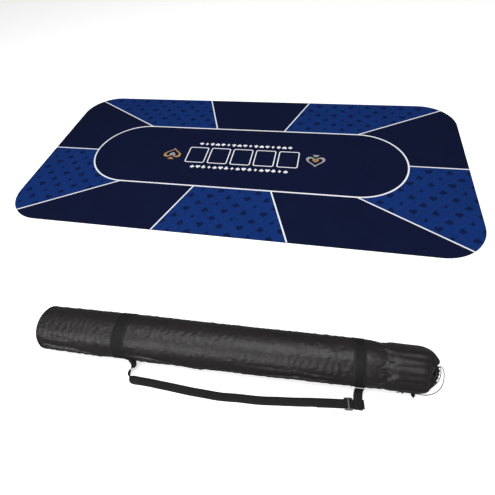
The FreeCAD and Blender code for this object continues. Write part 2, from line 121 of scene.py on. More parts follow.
def woven(name, rows, along, across, ring=False, loop=False):
    """A grid of points as a mesh, with a "thread" map: along and across it, in metres.

    ring joins each row's end to its start, and loop the last row to the first; along and across
    have one entry more for that.
    """
    count, wide = len(rows), len(rows[0])
    faces, places = [], []
    for i in range(count if loop else count - 1):
        for j in range(wide if ring else wide - 1):
            corners = ((i, j), (i, j + 1), (i + 1, j + 1), (i + 1, j))
            faces.append([(r % count) * wide + c % wide for r, c in corners])
            places += [(along[r], across[c]) for r, c in corners]
    mesh = mesh_of(name, [p for row in rows for p in row], faces)
    layer = mesh.uv_layers.new(name="thread")
    layer.data.foreach_set("uv", [n for place in places for n in place])
    return mesh


def lengths(points):
    """How far along a line each of its points lies."""
    found = [0.0]
    for a, b in zip(points, points[1:]):
        found.append(found[-1] + (b - a).length)
    return found


def face_out(mesh, wide=0):
    """Turns the faces outwards; an open tube whose rows have wide points has both ends closed first."""
    work = bmesh.new()
    work.from_mesh(mesh)
    if wide:
        work.verts.ensure_lookup_table()
        for start in (0, len(work.verts) - wide):
            work.faces.new([work.verts[start + k] for k in range(wide)])
    bmesh.ops.recalc_face_normals(work, faces=work.faces)
    work.to_mesh(mesh)
    work.free()


def applied(owner):
    """The object's mesh with its modifiers applied, in their place."""
    graph = bpy.context.evaluated_depsgraph_get()
    mesh = bpy.data.meshes.new_from_object(owner.evaluated_get(graph))
    old = owner.data
    owner.modifiers.clear()
    owner.data = mesh
    bpy.data.meshes.remove(old)
    return mesh


def finished(owner, thick=None):
    """Rounds the piece's grid if there is no thickness, or else gives the cloth that thickness."""
    if thick is None:
        smooth = owner.modifiers.new("smooth", "SUBSURF")
        smooth.levels = smooth.render_levels = 1
    else:
        owner.modifiers.new("solid", "SOLIDIFY").thickness = thick
    return applied(owner)


def smooth_step(low, high, value):
    t = min(1.0, max(0.0, (value - low) / (high - low)))
    return t * t * (3 - 2 * t)


def blend_list(stations, value):
    """Values at a place between (place, a, b, ...) stations, eased from one to the next."""
    for one, two in zip(stations, stations[1:]):
        if value <= two[0]:
            t = smooth_step(one[0], two[0], value)
            return [a + (b - a) * t for a, b in zip(one[1:], two[1:])]
    return list(stations[-1][1:])


# --- materials ---
def linear(red, green, blue):
    """An sRGB colour in 0 to 255 as linear light."""
    return [c / 12.92 if c <= 0.04045 else ((c + 0.055) / 1.055) ** 2.4
            for c in (red / 255, green / 255, blue / 255)]


class Material:
    """A Principled material that is put together node by node."""

    def __init__(self, name, colour, **sockets):
        self.made = bpy.data.materials.new(name)
        self.made.use_nodes = True
        self.tree = self.made.node_tree
        self.shader = self.tree.nodes["Principled BSDF"]
        self.colour = (*colour, 1)
        self.shader.inputs["Base Color"].default_value = self.colour
        for socket, value in sockets.items():
            self.shader.inputs[socket.replace("_", " ")].default_value = value
        self.made.diffuse_color = self.colour

    def node(self, kind, inputs=None, **settings):
        made = self.tree.nodes.new(kind)
        for name, value in settings.items():
            setattr(made, name, value)
        for name, value in (inputs or {}).items():
            if isinstance(value, bpy.types.NodeSocket):
                self.tree.links.new(value, made.inputs[name])
            else:
                made.inputs[name].default_value = value
        return made

    def math(self, operation, one, two=0.0, three=0.0):
        made = self.node("ShaderNodeMath", {0: one, 1: two, 2: three}, operation=operation)
        return made.outputs[0]

    def place(self, thread=False):
        """Coordinates in metres: the piece's own space, or along and across its threads."""
        if thread:
            return self.node("ShaderNodeUVMap", uv_map="thread").outputs[0]
        return self.node("ShaderNodeTexCoord").outputs["Object"]

    def noise(self, where, scale, detail=3.0, rough=0.55):
        return self.node("ShaderNodeTexNoise", {"Vector": where, "Scale": scale, "Detail": detail,
                                                "Roughness": rough}).outputs["Fac"]

    def cells(self, where, scale):
        return self.node("ShaderNodeTexVoronoi", {"Vector": where, "Scale": scale}).outputs["Distance"]

    def spread(self, value, low, high, start=0.0, end=1.0):
        return self.node("ShaderNodeMapRange", {"Value": value, "From Min": start, "From Max": end,
                                                "To Min": low, "To Max": high}).outputs[0]

    def tint(self, factor, dark, light):
        """The base colour, from dark to light shares of itself as factor goes from 0 to 1."""
        mix = self.node("ShaderNodeMix", {0: factor}, data_type="RGBA")
        mix.inputs[6].default_value = (*[c * dark for c in self.colour[:3]], 1)
        mix.inputs[7].default_value = (*[c * light for c in self.colour[:3]], 1)
        self.tree.links.new(mix.outputs[2], self.shader.inputs["Base Color"])

    def rough(self, value):
        self.tree.links.new(value, self.shader.inputs["Roughness"])

    def bump(self, layers):
        """Bumps of (height, strength, distance in metres), one over the other."""
        normal = None
        for height, strength, distance in layers:
            inputs = {"Height": height, "Strength": strength, "Distance": distance}
            if normal is not None:
                inputs["Normal"] = normal
            normal = self.node("ShaderNodeBump", inputs).outputs[0]
        self.tree.links.new(normal, self.shader.inputs["Normal"])

    def weave(self, where, across, along):
        """Height of a plain weave, its threads across and along metres apart."""
        parts = self.node("ShaderNodeSeparateXYZ", {0: where}).outputs
        waves = [self.math("SINE", self.math("MULTIPLY", parts[k], 2 * pi / pitch))
                 for k, pitch in ((0, across), (1, along))]
        product = self.math("MULTIPLY", waves[0], waves[1])
        return self.math("MULTIPLY_ADD", product, 0.5, 0.5)


def trellis(made, where):
    """Height of a faint diamond trellis in the dye."""
    parts = made.node("ShaderNodeSeparateXYZ", {0: where}).outputs
    lines = []
    for sign in (1, -1):
        slant = made.math("MULTIPLY_ADD", parts[1], sign, parts[0])
        phase = made.math("MULTIPLY_ADD", slant, pi / 0.0375, 0.9)
        lines.append(made.math("POWER", made.math("ABSOLUTE", made.math("SINE", phase)), 10.0))
    return made.math("MAXIMUM", lines[0], lines[1])


def print_material(name, colour, fleck_share=0.45, cloud_share=0.55, low=0.3, contrast=0.14, patterned=False):
    """Dyed polyester jersey: short nap, a fine knit, and dye that takes a little unevenly."""
    made = Material(name, colour, Roughness=0.85, Specular_IOR_Level=0.04)
    where = made.place()
    cloud = made.noise(where, 9.0)
    fleck = made.noise(where, 420.0, 2.0)
    shade = made.math("MULTIPLY_ADD", fleck, fleck_share, made.math("MULTIPLY", cloud, cloud_share))
    if patterned:
        shade = made.math("MULTIPLY_ADD", trellis(made, where), 0.16, shade)
    made.tint(made.spread(shade, 0.0, 1.0, low, 1 - low), 1 - contrast, 1 + contrast)
    made.rough(made.spread(fleck, 0.76, 0.9))
    knit = made.weave(where, 0.0011, 0.0016)
    made.bump([(knit, 0.25, 0.00025), (fleck, 0.2, 0.0002)])
    return made.made


def rubber_material():
    """Open-faced foam rubber: matt black, with a pressed waffle and fine pores."""
    made = Material("foam_rubber", linear(21, 21, 22), Roughness=0.85, Specular_IOR_Level=0.3)
    where = made.place()
    waffle = made.weave(where, 0.005, 0.005)
    pores = made.cells(where, 900.0)
    made.tint(made.noise(where, 60.0), 0.8, 1.25)
    made.bump([(waffle, 0.5, 0.0006), (pores, 0.35, 0.0003)])
    return made.made


def nylon_material():
    """Thin coated nylon: near black, satin, with a plain weave and rubbed patches."""
    made = Material("bag_nylon", linear(27, 24, 24), Roughness=0.42, Specular_IOR_Level=0.38)
    where = made.place(thread=True)
    own = made.place()
    threads = made.weave(where, 0.0009, 0.0009)
    crumple = made.noise(own, 55.0, 4.0)
    patches = made.noise(own, 11.0, 2.0)
    made.tint(made.spread(patches, 0.0, 1.0, 0.3, 0.7), 0.82, 1.2)
    made.rough(made.spread(crumple, 0.34, 0.52))
    made.bump([(crumple, 0.5, 0.002), (threads, 0.3, 0.00018)])
    return made.made


def webbing_material():
    """Polypropylene webbing: ribs across, threads along, and a dull shine."""
    made = Material("webbing", linear(22, 21, 21), Roughness=0.6, Specular_IOR_Level=0.2)
    where = made.place(thread=True)
    ribs = made.weave(where, 0.0015, 0.0022)
    fuzz = made.noise(where, 900.0, 2.0)
    wear = made.noise(where, 25.0)
    made.tint(made.math("MULTIPLY_ADD", ribs, 0.6, made.math("MULTIPLY", wear, 0.4)), 0.65, 1.45)
    made.rough(made.spread(fuzz, 0.48, 0.66))
    made.bump([(ribs, 0.7, 0.0005), (fuzz, 0.3, 0.0002)])
    return made.made


def thread_material():
    made = Material("sewing_thread", linear(84, 80, 80), Roughness=0.4, Specular_IOR_Level=0.5)
    twist = made.noise(made.place(), 2500.0, 1.0)
    made.tint(twist, 0.75, 1.3)
    made.bump([(twist, 0.4, 0.0001)])
    return made.made


def plastic_material(name, colour, rough):
    """Moulded acetal: smooth, with the faint ripple of its mould and light scuffs."""
    made = Material(name, colour, Roughness=rough, Specular_IOR_Level=0.55)
    where = made.place()
    ripple = made.noise(where, 260.0, 2.0)
    scuffs = made.noise(where, 1500.0, 3.0)
    made.tint(ripple, 0.85, 1.2)
    made.rough(made.spread(scuffs, rough * 0.75, rough * 1.35))
    made.bump([(ripple, 0.25, 0.00012), (scuffs, 0.15, 0.00004)])
    return made.made


def metal_material(name, colour, rough):
    made = Material(name, colour, Roughness=rough, Metallic=1.0)
    haze = made.noise(made.place(), 900.0, 3.0)
    made.tint(haze, 0.8, 1.15)
    made.rough(made.spread(haze, rough * 0.7, rough * 1.4))
    made.bump([(haze, 0.15, 0.00004)])
    return made.made


def cord_material():
    """Thin braided polyester cord, greyish black with a light fleck in it."""
    made = Material("braided_cord", linear(66, 64, 64), Roughness=0.5, Specular_IOR_Level=0.5)
    braid = made.cells(made.place(), 1300.0)
    made.tint(braid, 0.6, 1.6)
    made.bump([(braid, 0.6, 0.0003)])
    return made.made


NAVY = print_material("print_navy", linear(14, 21, 49))
BLUE = print_material("print_blue", linear(17, 46, 106), 0.4, 0.5, 0.28, 0.16, patterned=True)
SUIT = print_material("print_suit", linear(12, 27, 66))
WHITE = print_material("print_white", linear(236, 238, 242))
GOLD = print_material("print_gold", linear(172, 134, 84))
SILVER = print_material("print_silver", linear(158, 158, 162))
RUBBER = rubber_material()
NYLON = nylon_material()
WEBBING = webbing_material()
THREAD = thread_material()
SLIDER = plastic_material("slider_acetal", linear(22, 22, 23), 0.22)
LOCK_PLASTIC = plastic_material("lock_acetal", linear(24, 24, 25), 0.35)
EYELET = metal_material("eyelet_steel", linear(150, 150, 154), 0.3)
SPRING = metal_material("spring_steel", linear(165, 165, 170), 0.25)
CORD_FINISH = cord_material()


# --- camera ---
def camera():
    made = bpy.data.cameras.new("camera")
    made.sensor_width = 36
    made.lens = 26.2855
    made.clip_start = 0.01
    holder = in_scene("camera", made)
    holder.location = (0.34753, -1.23899, 0.95952)
    holder.rotation_euler = Euler([radians(a) for a in (39.0884, 4.6282, 11.0801)], "XYZ")
    bpy.context.scene.camera = holder


camera()


# --- drawcord: two free strands from the eyelet, through the cord lock, to one knot ---
INNER_POINTS = [(680.5, -840, 46), (684, -850, 28), (680.5, -861, 12), (669, -872, 3.5),
                (654, -884.5, 3.2)]
OUTER_POINTS = [(686, -838, 47), (691.5, -850, 31), (691.5, -865, 14), (683, -879, 3.5),
                (667, -889.5, 1.5), (650, -895, 2.0)]
LEAVES_EYELET = EYELET_REACH - 1.0
KNOT_FACE = -20


def round_cord(name, routes, body, closed=False):
    """Round cord along each route of points in metres, as one piece."""
    curve = bpy.data.curves.new(name, "CURVE")
    curve.dimensions = "3D"
    curve.bevel_depth = CORD / 2 * MM
    curve.bevel_resolution = 4
    curve.use_fill_caps = True
    for number, route in enumerate(routes):
        line = curve.splines.new("NURBS")
        line.points.add(len(route) - 1)
        for point, here in zip(line.points, route):
            point.co = (*here, 1)
        line.order_u = 3
        line.use_cyclic_u = closed and number == 0
        line.use_endpoint_u = not line.use_cyclic_u
        line.resolution_u = 10
    curve.materials.append(CORD_FINISH)
    made = in_scene(name, curve)
    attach(made, body)
    return made


def drawcord(name, side, points, node):
    start = HEM @ Vector((LEAVES_EYELET, -PAIR * side, 0))
    route = [start, HEM @ Vector((LEAVES_EYELET + 15, -PAIR * side, 0))]
    route += [Vector(p) * MM for p in points]
    route += [LOCK @ Vector((x, 0, CORD_HIGH + PAIR * side)) for x in (14, KNOT_FACE)]
    made = round_cord(name, [route], "bag")
    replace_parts(made, node)
    return made, start


strand_a = drawcord("cord_strand_a", 1, INNER_POINTS, "drawcord_a")
strand_b = drawcord("cord_strand_b", -1, OUTER_POINTS, "drawcord_b")


def end_knot():
    """The overhand knot that ends both strands, pulled tight, and its two loose tails."""
    turns = [k / 24 * 2 * pi for k in range(24)]
    middle = KNOT_FACE - 4.6
    knotted = [LOCK @ Vector((middle + 1.2 * (sin(t) + 2 * sin(2 * t)),
                              1.15 * (cos(t) - 2 * cos(2 * t)),
                              CORD_HIGH - 1.9 * sin(3 * t))) for t in turns]
    tails = []
    for side, end, drift in ((1, -43, 2.2), (-1, -39, -1.8)):
        tails.append([LOCK @ Vector(p) for p in (
            (KNOT_FACE + 1, 0, CORD_HIGH + PAIR * side), (middle, side, CORD_HIGH + side),
            (middle - 5, 0.4 * drift, CORD_HIGH + 0.6 * side), (end + 6, 0.7 * drift, 2.6),
            (end + 0.6, drift, 1.4))])
    made = round_cord("end_knot", [knotted] + tails, "bag", closed=True)
    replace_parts(made, "cord_knot")
    return made


knot = end_knot()
hem_turns = [radians(15 + 330 * k / 40) for k in range(41)]
hidden = round_cord("cord_in_hem", [[HEM @ Vector((HEM_RING * cos(a), HEM_RING * sin(a), 0))
                                     for a in hem_turns]], "bag")
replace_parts(hidden, "drawcord_loop")


# --- the mat's print ---
MAT_HALF = (900.0, 450.0)
MAT_CORNER = 152.0
CLOTH_TOP, CLOTH_LOW = 3.0, 2.6
CLOTH_ROUND = 0.25
TRACK_HALF, TRACK_RADIUS, LINE = 479.0, 200.0, 6.5


def bezier(start, *spans, steps=7):
    """Points along cubic spans, each (handle, handle, end)."""
    points = [Vector(start)]
    for span in spans:
        at = points[-1]
        one, two, end = (Vector(p) for p in span)
        for k in range(1, steps + 1):
            t = k / steps
            points.append(at * (1 - t) ** 3 + one * 3 * t * (1 - t) ** 2
                          + two * 3 * t * t * (1 - t) + end * t ** 3)
    return points


def mirrored(half):
    """A closed outline from its right half, which starts and ends on x = 0 or comes near it."""
    inner = [Vector((-p.x, p.y)) for p in reversed(half) if abs(p.x) > 1e-6]
    return half + inner


SUIT_SHAPES = {
    "heart": mirrored(bezier((0, 0.26), ((0.08, 0.52), (0.52, 0.56), (0.52, 0.16)),
                             ((0.52, -0.1), (0.14, -0.28), (0, -0.5)))),
    "spade": mirrored(bezier((0, 0.5), ((0.08, 0.26), (0.5, 0.12), (0.5, -0.12)),
                             ((0.5, -0.38), (0.16, -0.38), (0.06, -0.18)),
                             ((0.06, -0.36), (0.1, -0.44), (0.2, -0.5)))),
    "club": mirrored(bezier((0, 0.5), ((0.32, 0.5), (0.32, 0.2), (0.15, 0.12)),
                            ((0.54, 0.22), (0.6, -0.3), (0.26, -0.3)),
                            ((0.14, -0.3), (0.08, -0.24), (0.06, -0.16)),
                            ((0.06, -0.34), (0.1, -0.44), (0.2, -0.5)))),
    "diamond": mirrored(bezier((0, 0.5), ((0.1, 0.26), (0.26, 0.1), (0.38, 0)),
                               ((0.26, -0.1), (0.1, -0.26), (0, -0.5)))),
}
SUIT_ORDER = ("spade", "heart", "club", "diamond")


def suit(kind, at, tall, flipped=False):
    turn = -1 if flipped else 1
    return [(at[0] + turn * p.x * tall, at[1] + turn * p.y * tall) for p in SUIT_SHAPES[kind]]


def arc(centre, reach, start, sweep, k, steps):
    """The k-th of equal arcs, each sweep degrees long, that follow one another from start."""
    turns = [radians(start + sweep * (k + i / steps)) for i in range(steps + 1)]
    return [(centre[0] + reach * cos(a), centre[1] + reach * sin(a)) for a in turns]


def rounded_box(centre, half, corner, steps=5):
    points = []
    for k, (sx, sy) in enumerate(((1, 1), (-1, 1), (-1, -1), (1, -1))):
        middle = (centre[0] + sx * (half[0] - corner), centre[1] + sy * (half[1] - corner))
        points += arc(middle, corner, 0, 90, k, steps)
    return points


def stadium(half, reach, steps=40):
    return arc((half, 0), reach, -90, 180, 0, steps) + arc((-half, 0), reach, -90, 180, 1, steps)


def bar(start, end, wide):
    a, b = Vector(start), Vector(end)
    side = Vector((a.y - b.y, b.x - a.x)).normalized() * wide / 2
    return [tuple(p) for p in (a + side, b + side, b - side, a - side)]


def seat_sections():
    """The patterned sections' corners, from the racetrack out past the mat's edge."""
    near_a, far_a = (482, 199), (960, 480)
    near_b, far_b = (157.5, 200), (265.5, 490)
    found = [[(sx * x, y) for x, y in (near_a, far_a, far_b, near_b)] for sx in (-1, 1)]
    found.append([(sx * p[0], -p[1]) for sx, p in ((-1, near_b), (-1, far_b), (1, far_b), (1, near_b))])
    found += [[(sx * x, -y) for x, y in ((479, 0), (950, 0), far_a, near_a)] for sx in (-1, 1)]
    return found


def dividers():
    lines = []
    for sx in (-1, 1):
        lines.append(((sx * 679, 0), (sx * 950, 0)))
        for sy in (-1, 1):
            lines.append(((sx * 482, sy * 200), (sx * 930, sy * 463)))
            lines.append(((sx * 157.5, sy * 200), (sx * 262, sy * 481)))
    return [bar(a, b, 5.5) for a, b in lines]


LATTICE, SUIT_TALL, DIAMOND_TALL = 75, 27, 22


def lattice():
    """The suits strewn over the patterned sections: two sorts on each of two interlaced rows."""
    placed = []
    for row in range(-8, 9):
        for column in range(-13, 14):
            x, y = LATTICE * column, LATTICE * row
            one, two, tall = (("heart", "diamond", DIAMOND_TALL) if (row + column) % 2
                              else ("club", "spade", SUIT_TALL))
            placed += [suit(one, (x, y + 45.5), SUIT_TALL), suit(two, (x + LATTICE / 2, y + 8), tall)]
    return placed


CARD_HALF, CARD_PITCH, CARD_LINE = (42.0, 51.5), 100.5, 4.4


def print_regions():
    """(material index, outline) in the order that they are printed over each other."""
    regions = [(1, section) for section in seat_sections()]
    marks = [mark for mark in lattice() if any(inside_one(centre_of(mark), s) for _, s in regions)]
    regions += [(2, mark) for mark in marks]
    regions.append((3, stadium(TRACK_HALF, TRACK_RADIUS + LINE / 2)))
    regions += [(3, line) for line in dividers()]
    regions.append((0, stadium(TRACK_HALF, TRACK_RADIUS - LINE / 2)))
    for k in range(-2, 3):
        centre = (CARD_PITCH * k, 0)
        regions.append((3, rounded_box(centre, [h + CARD_LINE / 2 for h in CARD_HALF], 10)))
        regions.append((0, rounded_box(centre, [h - CARD_LINE / 2 for h in CARD_HALF], 7)))
    for side in (1, -1):
        for k in range(17):
            centre = (side * (25 * k - 200), side * -80)
            regions.append((3, suit(SUIT_ORDER[k % 4], centre, 19, flipped=side < 0)))
    for side in (-1, 1):
        regions += emblem(side)
    return regions


def emblem(side):
    """A plain two-tone spade at each end of the cards: a metal rim, a dark field, a small heart."""
    x, (rim, inner) = side * 314, (4, 5) if side < 0 else (5, 4)
    return [(rim, suit("spade", (x, 0), 80, side > 0)),
            (0, suit("spade", (x, -side * 2), 58, side > 0)),
            (inner, suit("heart", (x, side * 3), 26, side < 0)),
            (0, suit("diamond", (x, side * 3), 9))]


def centre_of(outline):
    return (sum(p[0] for p in outline) / len(outline), sum(p[1] for p in outline) / len(outline))


def inside_many(points, outline):
    """Which of the points lie inside an outline."""
    x, y = points[:, 0], points[:, 1]
    found = np.zeros(len(points), bool)
    for (ax, ay), (bx, by) in zip(outline, outline[1:] + outline[:1]):
        if ay != by:
            crosses = (ay > y) != (by > y)
            found ^= crosses & (x < (bx - ax) * (y - ay) / (by - ay) + ax)
    return found


def inside_one(point, outline):
    return bool(inside_many(np.array([point], float), outline)[0])


def edge_point(point, out, height):
    """A point on the cloth's rim, out mm outwards of the inset outline."""
    inner = [max(-h + MAT_CORNER, min(h - MAT_CORNER, c)) for h, c in zip(MAT_HALF, point)]
    away = Vector((point[0] - inner[0], point[1] - inner[1]))
    away.normalize()
    return (point[0] + away.x * out, point[1] + away.y * out, height)


def printed_cloth():
    rim = [h - CLOTH_ROUND for h in MAT_HALF]
    edge = rounded_box((0, 0), rim, MAT_CORNER - CLOTH_ROUND, steps=24)
    regions = print_regions()
    outlines = [edge] + [outline for _, outline in regions]
    corners, edges = [], []
    for outline in outlines:
        first = len(corners)
        corners += [Vector(p) for p in outline]
        edges += [(first + k, first + (k + 1) % len(outline)) for k in range(len(outline))]
    points, _, faces, _, _, _ = delaunay_2d_cdt(corners, edges, [], 0, 1e-4)
    flat = np.array([tuple(p) for p in points], float)
    centres = flat[np.array(faces)].mean(1)
    kept = inside_many(centres, edge)
    paint = np.zeros(len(faces), int)
    for index, outline in regions:
        paint[inside_many(centres, outline)] = index
    faces = [f for f, k in zip(faces, kept) if k]
    paint = paint[kept]
    work = bmesh.new()
    made = [work.verts.new((p[0], p[1], CLOTH_TOP)) for p in flat]
    for face, index in zip(faces, paint):
        work.faces.new([made[i] for i in face]).material_index = int(index)
    bmesh.ops.delete(work, geom=[v for v in work.verts if not v.link_faces], context="VERTS")
    loop = [e for e in work.edges if e.is_boundary]
    for out, height in ((CLOTH_ROUND, CLOTH_TOP - CLOTH_ROUND * 0.6), (0, CLOTH_LOW)):
        grown = bmesh.ops.extrude_edge_only(work, edges=loop)["geom"]
        loop = [g for g in grown if isinstance(g, bmesh.types.BMEdge) and g.is_boundary]
        for vertex in {v for e in loop for v in e.verts}:
            vertex.co = edge_point((vertex.co.x, vertex.co.y), out, height)
    bmesh.ops.contextual_create(work, geom=loop)
    bmesh.ops.recalc_face_normals(work, faces=work.faces)
    work.transform(Matrix.Scale(MM, 4))
    mesh = bpy.data.meshes.new("mat_print")
    work.to_mesh(mesh)
    work.free()
    for material in (NAVY, BLUE, SUIT, WHITE, GOLD, SILVER):
        mesh.materials.append(material)
    return made_object("mat_print", mesh, "mat", ["mat_cloth"])


mat_print = printed_cloth()


# --- the bag's cloth ---
# SLACK has the tube's sections, each its place along the bag, its axis's height and its radius.
# MOUTH goes on with place, shift sideways, height, radius and lean.
TUBE_START, TUBE_END = 40, 973
LEFT_BAND, RIGHT_BAND = (264, 38), (887, 30)
CLOTH_THICK = 0.0007
ROUND, TUBE_ROWS, MOUTH_STEPS = 108, 134, 5
ROUND_PLACES = [k / ROUND * 0.37 for k in range(ROUND + 1)]
LOWEST, SETTLED_LOWEST, FLOOR_GAP = 0.5, 0.0004, 0.3
MOST_MOVED = 0.006
SLACK = ((40, BAG_AXIS, 59.4), (265, BAG_AXIS, 60.0), (530, BAG_AXIS, 58.4), (860, 60.0, 57.8),
         (973, 58.6, 56.6))
MOUTH = ((973, 0, 58.6, 56.6, 0), (1012, 0, 57.6, 56, 3), (1036, 0, 57.6, 55, 7),
         (1053, -2, 59.6, 49.5, 15), (1062, -4.5, 63.5, 40, 27), (1066, -7.5, 68, 30.5, 37),
         (1064, -10, 70.4, 23, MOUTH_LEAN), (1058, -7, 67, 17, MOUTH_LEAN),
         (1056, -6, 66, 13, MOUTH_LEAN))
PLEATS = 17
CORD_SIDE = radians(334)


def spline_at(stations, place):
    """Values on a smooth curve through the stations, place counted in stations."""
    k = min(int(place), len(stations) - 2)
    t = place - k
    a, b, c, d = (stations[min(max(k + i, 0), len(stations) - 1)] for i in (-1, 0, 1, 2))
    return [q + 0.5 * t * (r - p + t * (2 * p - 5 * q + 4 * r - s + t * (3 * (q - r) + s - p)))
            for p, q, r, s in zip(a, b, c, d)]


def cloth_sections():
    """Circles the bag's cloth lies on before it is creased: centre, radius and lean."""
    straight = np.linspace(TUBE_START, TUBE_END, TUBE_ROWS)
    found = [(x, 0, *blend_list(SLACK, x), 0) for x in straight]
    return found + [spline_at(MOUTH, (k + 1) / MOUTH_STEPS) for k in range(MOUTH_STEPS * (len(MOUTH) - 1))]


def around(columns=ROUND):
    return [2 * pi * k / columns for k in range(columns)]


# Long folds: where each starts and ends along the bag, its angle at both, and how far it stands out.
LONG_FOLDS = ((46, 240, 158, 186, 4.6), (292, 500, 164, 192, 4.4), (450, 862, 191, 171, 4.4),
              (48, 130, 134, 144, 2.2), (300, 420, 190, 200, 2.4), (600, 850, 152, 158, 1.5),
              (905, 968, 160, 176, 2.2))


def bump_at(value, centre, wide):
    return exp(-((value - centre) / wide) ** 2)


def seam_pull(x):
    """How near x is to a sewn line that gathers the cloth, from 0 to 1."""
    held = bump_at(x, TUBE_START, 16)
    for centre, wide in (LEFT_BAND, RIGHT_BAND):
        away = max(0.0, abs(x - centre) - wide / 2)
        held = max(held, exp(-away / 20))
    return held


def crease_height(x, a):
    """The creases the folded-up cloth has kept, in millimetres out of the tube."""
    way = Vector((cos(a), sin(a)))
    broad = noise.noise(Vector((x / 120, way.x * 1.3, way.y * 1.3 + 5)))
    long = noise.noise(Vector((x / 75, way.x * 4.2, way.y * 4.2 + 11)))
    small = noise.noise(Vector((x / 22, way.x * 6.5, way.y * 6.5 + 23)))
    return (1.5 * broad + 1.9 * long + 0.8 * small) * (1 - 0.85 * seam_pull(x))


def long_fold_height(x, a):
    """The long folds along the bag's lower front, and the puckers beside what is sewn."""
    height, turned = 0.0, degrees(a)
    for start, end, low, high, tall in LONG_FOLDS:
        along = (x - start) / (end - start)
        if -0.12 < along < 1.12:
            line = low + (high - low) * along + 2.5 * sin(x / 31) + 1.2 * sin(x / 12)
            fade = smooth_step(-0.12, 0.2, along) * smooth_step(1.12, 0.8, along)
            off = turned - line
            below = smooth_step(-2.5, 3.5, off) * exp(-max(0.0, off - 3.5) / 11)
            above = bump_at(off, -3.5, 4.5)
            height += fade * tall * (below - 0.45 * above)
    for centre, wide in (LEFT_BAND, RIGHT_BAND):
        away = abs(x - centre) - wide / 2
        if 0 < away < 70:
            pucker = sin(9 * a + 1.3 * sin(2 * a + centre)) + 0.7 * sin(17 * a + x / 9)
            height += 0.75 * pucker * exp(-away / 22) * min(1, away / 6)
    height *= 1 - 0.85 * seam_pull(x)
    return height + 0.7 * sin(31 * a) * bump_at(x, TUBE_START + 8, 9)


def pleat_phase(a):
    """The pleats are unevenly spaced round the mouth, and the hem's ruffles follow them."""
    return PLEATS * a + 1.1 * sin(2 * a + 1) + 0.7 * sin(5 * a + 0.4)


def pleat_height(x, reach, a):
    """The gathers that the drawn mouth pulls into the cloth."""
    phase = pleat_phase(a)
    tall = 3.6 * smooth_step(938, 1034, x) * (min(reach, 59) / 59) ** 0.35
    fine = 0.5 * sin(2 * phase + 1) * smooth_step(990, 1040, x)
    return tall * (abs(sin(phase / 2)) - 0.78) + fine


def creased_cloth():
    """The cloth's grid in the bag's millimetres: sections, their creases and where they lie."""
    sections = cloth_sections()
    turns = around()
    flat = np.zeros((len(sections), ROUND, 3))
    for i, (x, y, z, reach, lean) in enumerate(sections):
        turn = leaning(lean)
        for j, a in enumerate(turns):
            way = turn @ Vector((0, cos(a), sin(a)))
            flat[i, j] = Vector((x, y, z)) + way * reach
    ahead = np.gradient(flat, axis=0)
    across = np.roll(flat, -1, 1) - np.roll(flat, 1, 1)
    out = np.cross(across, ahead)
    out /= np.linalg.norm(out, axis=2, keepdims=True)
    heights, folds = np.zeros((2, len(sections), ROUND))
    for i, (x, _, _, reach, _) in enumerate(sections):
        share = smooth_step(985, 950, x)
        heights[i] = [crease_height(x, a) * share + pleat_height(x, reach, a) for a in turns]
        folds[i] = [long_fold_height(x, a) * share for a in turns]
    heights[-4:] *= 0.5
    # the bulge round the hem parts where the cords come out of it
    parted = np.array([exp(-(remainder(a - CORD_SIDE, 2 * pi) / 0.3) ** 2) for a in turns])
    bulge = np.array([smooth_step(12, 24, k - TUBE_ROWS) * smooth_step(36, 31, k - TUBE_ROWS)
                      for k in range(len(sections))])
    heights -= 8.5 * bulge[:, None] * parted[None, :]
    return flat + out * heights[:, :, None], out * folds[:, :, None], sections


def floored(points, lowest):
    points[..., 2] = np.maximum(points[..., 2], lowest)
    return points


def to_row_frame(points):
    turned = np.array(BAG)
    return points @ turned[:3, :3].T + turned[:3, 3]


CLOTH_SETTINGS = {"quality": 6, "mass": 0.2, "tension_stiffness": 20, "compression_stiffness": 20,
                  "shear_stiffness": 8, "bending_stiffness": 0.9, "shrink_min": -0.025,
                  "vertex_group_mass": "held"}
SETTLE_FRAMES = 26
COLLIDER_GAP = 0.001


def settled(owner, weights):
    """Lets the cloth settle on the roll inside it and on the floor, held where it is sewn."""
    held = owner.vertex_groups.new(name="held")
    for index, weight in enumerate(weights):
        held.add([index], float(weight), "REPLACE")
    roll_rows = []
    for x in np.linspace(30, 1000, 60):
        high, reach = blend_list(SLACK, x)
        reach -= 2.2 + 12 * smooth_step(900, 1000, x)
        roll_rows.append([BAG @ Vector((x, reach * cos(a), high + reach * sin(a)))
                          for a in around(64)])
    roll = made_object("roll", woven("roll", roll_rows, range(60), range(65), ring=True), "bag")
    ground = made_object("ground", mesh_of("ground", [BAG @ Vector(p) for p in (
        (-60, -160, 0), (1160, -160, 0), (1160, 160, 0), (-60, 160, 0))], [(0, 1, 2, 3)]), "bag")
    for solid in (roll, ground):
        solid.modifiers.new("solid", "COLLISION")
        solid.collision.thickness_outer = COLLIDER_GAP
        solid.collision.cloth_friction = 15
    cloth = owner.modifiers.new("cloth", "CLOTH")
    for setting, value in CLOTH_SETTINGS.items():
        setattr(cloth.settings, setting, value)
    cloth.collision_settings.distance_min = COLLIDER_GAP
    cloth.collision_settings.collision_quality = 2
    cloth.point_cache.frame_end = SETTLE_FRAMES
    scene = bpy.context.scene
    for frame_number in range(1, SETTLE_FRAMES + 1):
        scene.frame_set(frame_number)
    mesh = applied(owner)
    scene.frame_set(1)
    owner.vertex_groups.clear()
    for solid in (roll, ground):
        bpy.data.objects.remove(solid)
    return np.array([v.co for v in mesh.vertices], float)


